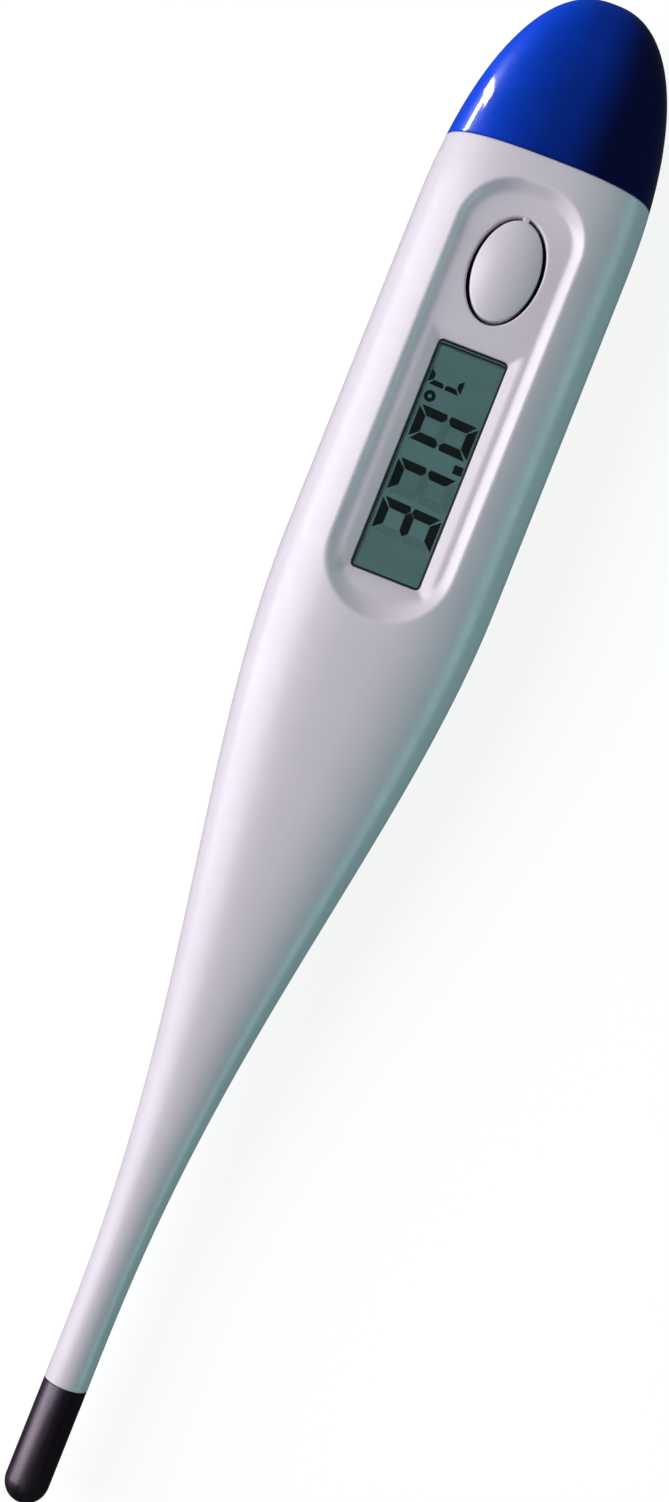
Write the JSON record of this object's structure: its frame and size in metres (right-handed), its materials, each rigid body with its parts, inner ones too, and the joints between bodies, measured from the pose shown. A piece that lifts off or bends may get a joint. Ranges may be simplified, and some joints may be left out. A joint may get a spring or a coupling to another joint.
{
  "type": "digital thermometer",
  "caption": "Handheld digital thermometer: metal probe tip on a tapered white body, display window, oval push button and pull-off battery cap.",
  "frame": {"origin": "on the flat back that the thermometer lies on, under the middle of its length and width", "axes": "+X along the stick from the metal tip to the battery cap, which is also the way the digits read; +Y to the top of the digits; +Z out of the display"},
  "size_m": [0.124, 0.0174, 0.0103],
  "materials": {
    "white_plastic": "satin moulded plastic",
    "blue_plastic": "polished moulded plastic",
    "clear_window": "clear polished plastic",
    "seal_black": "moulded",
    "tip_steel": "fine brushed, along the stem",
    "black_resin": "cured resin",
    "bead_glass": "glazed",
    "copper_wire": "enamelled",
    "solder": "bright",
    "board_green": "solder mask over glass laminate",
    "clear_polariser": "clear film",
    "lcd_glass": "clear",
    "segment_black": "dark display segment",
    "seal_resin": "cured resin",
    "display_back": "grey-green reflective film",
    "grey_plastic": "moulded",
    "pink_rubber": "layered silicone",
    "tan_ceramic": "fired, tinned ends",
    "black_ceramic": "fired, tinned ends",
    "black_plastic": "moulded",
    "contact_steel": "stamped sheet",
    "contact_brass": "stamped sheet",
    "cell_steel": "nickel plated",
    "gasket_green": "moulded",
    "foam_cream": "adhesive foam",
    "white_ceramic": "silvered face",
    "wire_red": "insulated",
    "wire_black": "insulated"
  },
  "bodies": {
    "body": {"housing": "white_plastic", "display_window": "clear_window", "window_seal": "seal_black", "probe_tip": "tip_steel", "tip_potting": "black_resin", "thermistor_bead": "bead_glass", "thermistor_lead_left": "copper_wire", "thermistor_lead_right": "copper_wire", "lead_solder_joints": "solder", "circuit_board": "board_green", "lcd_front_polariser": "clear_polariser", "lcd_front_glass": "lcd_glass", "lcd_segments": "segment_black", "lcd_edge_seal": "seal_resin", "lcd_rear_glass": "lcd_glass", "lcd_rear_polariser": "display_back", "lcd_holder": "grey_plastic", "connector_strip": "pink_rubber", "chip_blob": "black_resin", "capacitors": "tan_ceramic", "resistors": "black_ceramic", "switch_body": "black_plastic", "switch_plate": "contact_steel", "battery_carrier": "grey_plastic", "contact_positive": "contact_brass", "contact_negative": "contact_brass", "cell_can": "cell_steel", "cell_gasket": "gasket_green", "cell_cap": "cell_steel", "buzzer_foam": "foam_cream", "buzzer_plate": "contact_brass", "buzzer_ceramic": "white_ceramic", "buzzer_wire_red": "wire_red", "buzzer_wire_black": "wire_black"},
    "cap": {"battery_cap": "blue_plastic"},
    "button": {"power_button": "white_plastic"},
    "plunger": {"switch_plunger": "grey_plastic"}
  },
  "joints": [
    {"name": "cap_pull", "type": "slide", "parent": "body", "child": "cap", "axis": [1, 0, 0], "range_m": [0, 0.025]},
    {"name": "button_press", "type": "hinge", "parent": "body", "child": "button", "pos_m": [0.04318, 0, 0.0088], "axis": [0, -1, 0], "range_deg": [0, 4], "stiffness_Nm_per_rad": 0.02},
    {"name": "switch_press", "type": "slide", "parent": "body", "child": "plunger", "axis": [0, 0, -1], "range_m": [0, 0.00031]}
  ],
  "couplings": [
    {"joint": "switch_press", "follows": "button_press", "m_per_rad": 0.0043}
  ]
}
